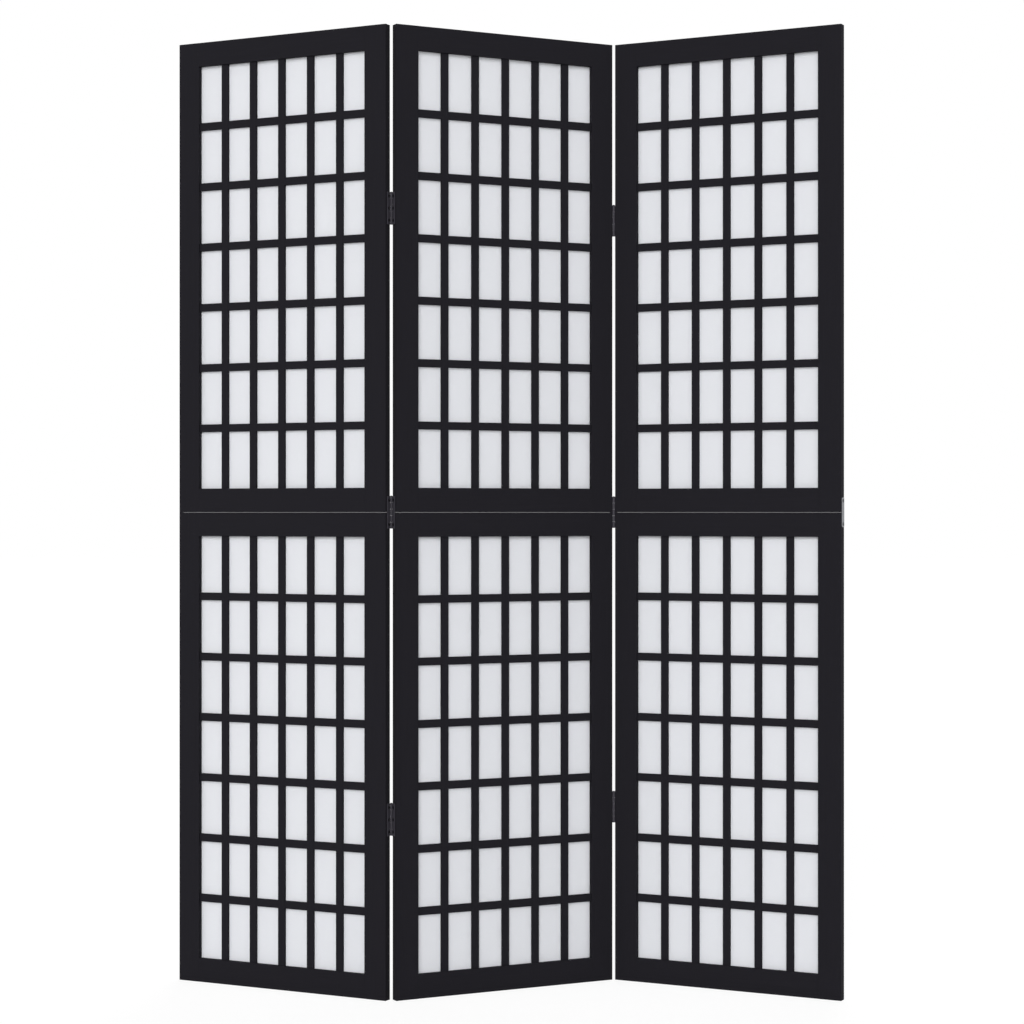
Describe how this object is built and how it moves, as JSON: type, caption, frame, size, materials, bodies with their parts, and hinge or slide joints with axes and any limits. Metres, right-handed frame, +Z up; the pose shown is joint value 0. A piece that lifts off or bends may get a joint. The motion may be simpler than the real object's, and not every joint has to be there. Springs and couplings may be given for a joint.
{
  "type": "folding screen",
  "caption": "Folding paper screen of lattice panels in a black frame, hinged to stand in a zig-zag.",
  "frame": {"origin": "on the floor, in the middle of the standing screen's box and under the middle of the centre panel", "axes": "+X to the right seen from the front, +Y from front to back, +Z up"},
  "size_m": [1.1492, 0.2056, 1.65],
  "materials": {
    "black_lacquer": "satin black lacquer on softwood",
    "shoji_paper": "matt translucent fibre paper",
    "hinge_steel": "satin black coated steel",
    "zinc_plate": "bright zinc plated steel"
  },
  "bodies": {
    "centre_panel": {"centre_lower_left_stile": "black_lacquer", "centre_lower_right_stile": "black_lacquer", "centre_lower_foot_rail": "black_lacquer", "centre_lower_head_rail": "black_lacquer", "centre_lower_lattice": "black_lacquer", "centre_lower_paper": "shoji_paper", "centre_upper_left_stile": "black_lacquer", "centre_upper_right_stile": "black_lacquer", "centre_upper_foot_rail": "black_lacquer", "centre_upper_head_rail": "black_lacquer", "centre_upper_lattice": "black_lacquer", "centre_upper_paper": "shoji_paper", "left_crease_lower_centre_leaf": "hinge_steel", "left_crease_lower_pin": "hinge_steel", "left_crease_middle_centre_leaf": "hinge_steel", "left_crease_middle_pin": "hinge_steel", "left_crease_upper_centre_leaf": "hinge_steel", "left_crease_upper_pin": "hinge_steel", "right_crease_lower_centre_leaf": "hinge_steel", "right_crease_lower_pin": "hinge_steel", "right_crease_middle_centre_leaf": "hinge_steel", "right_crease_middle_pin": "hinge_steel", "right_crease_upper_centre_leaf": "hinge_steel", "right_crease_upper_pin": "hinge_steel"},
    "left_panel": {"left_lower_left_stile": "black_lacquer", "left_lower_right_stile": "black_lacquer", "left_lower_foot_rail": "black_lacquer", "left_lower_head_rail": "black_lacquer", "left_lower_lattice": "black_lacquer", "left_lower_paper": "shoji_paper", "left_upper_left_stile": "black_lacquer", "left_upper_right_stile": "black_lacquer", "left_upper_foot_rail": "black_lacquer", "left_upper_head_rail": "black_lacquer", "left_upper_lattice": "black_lacquer", "left_upper_paper": "shoji_paper", "left_crease_lower_outer_leaf": "hinge_steel", "left_crease_middle_outer_leaf": "hinge_steel", "left_crease_upper_outer_leaf": "hinge_steel", "left_mending_plate": "zinc_plate"},
    "right_panel": {"right_lower_left_stile": "black_lacquer", "right_lower_right_stile": "black_lacquer", "right_lower_foot_rail": "black_lacquer", "right_lower_head_rail": "black_lacquer", "right_lower_lattice": "black_lacquer", "right_lower_paper": "shoji_paper", "right_upper_left_stile": "black_lacquer", "right_upper_right_stile": "black_lacquer", "right_upper_foot_rail": "black_lacquer", "right_upper_head_rail": "black_lacquer", "right_upper_lattice": "black_lacquer", "right_upper_paper": "shoji_paper", "right_crease_lower_outer_leaf": "hinge_steel", "right_crease_middle_outer_leaf": "hinge_steel", "right_crease_upper_outer_leaf": "hinge_steel", "right_mending_plate": "zinc_plate"}
  },
  "joints": [
    {"name": "left_fold", "type": "hinge", "parent": "centre_panel", "child": "left_panel", "pos_m": [-0.19226, -0.09017, 0.825], "axis": [0, 0, 1], "range_deg": [-125.4, 54.6]},
    {"name": "right_fold", "type": "hinge", "parent": "centre_panel", "child": "right_panel", "pos_m": [0.19226, 0.09017, 0.825], "axis": [0, 0, 1], "range_deg": [-125.4, 54.6]}
  ]
}
